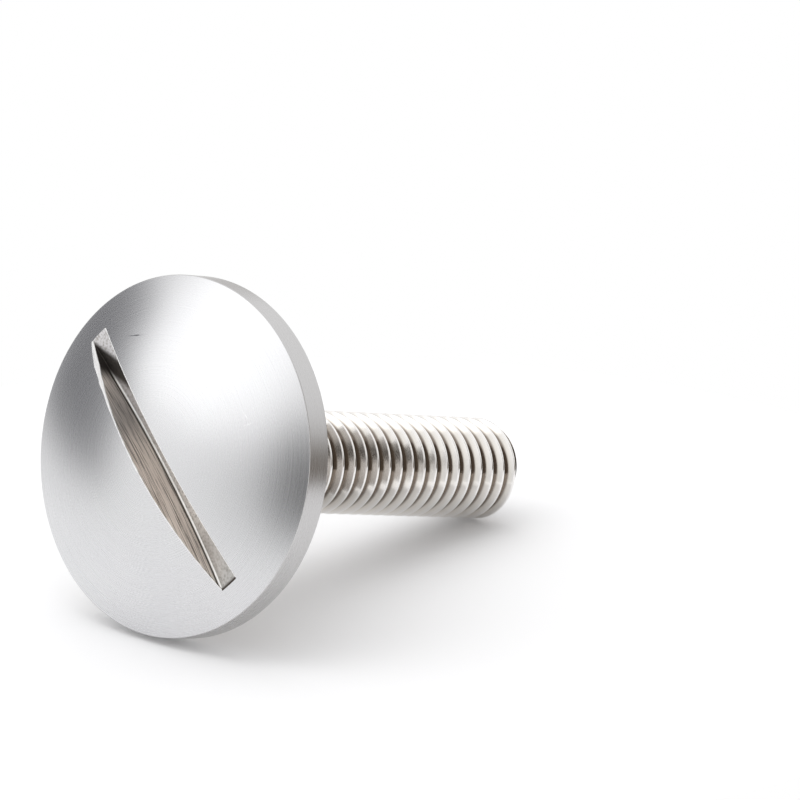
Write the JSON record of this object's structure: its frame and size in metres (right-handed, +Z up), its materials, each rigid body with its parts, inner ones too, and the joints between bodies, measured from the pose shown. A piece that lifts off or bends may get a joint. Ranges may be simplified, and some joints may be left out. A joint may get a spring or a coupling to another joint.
{
  "type": "slotted large cheese head screw",
  "caption": "Machine screw with a large, slightly domed round head, a straight driver slot and a thread up to the head. It clamps thin sheets or covers under its wide bearing face.",
  "frame": {"origin": "on the surface the screw lies on, under the middle of its box", "axes": "+Z up, +X level from the head towards the tip, +Y across the head"},
  "size_m": [0.029, 0.0198, 0.0194],
  "materials": {
    "stainless": "satin turned head, bright rolled thread"
  },
  "bodies": {
    "root": {"screw": "stainless"}
  },
  "joints": []
}
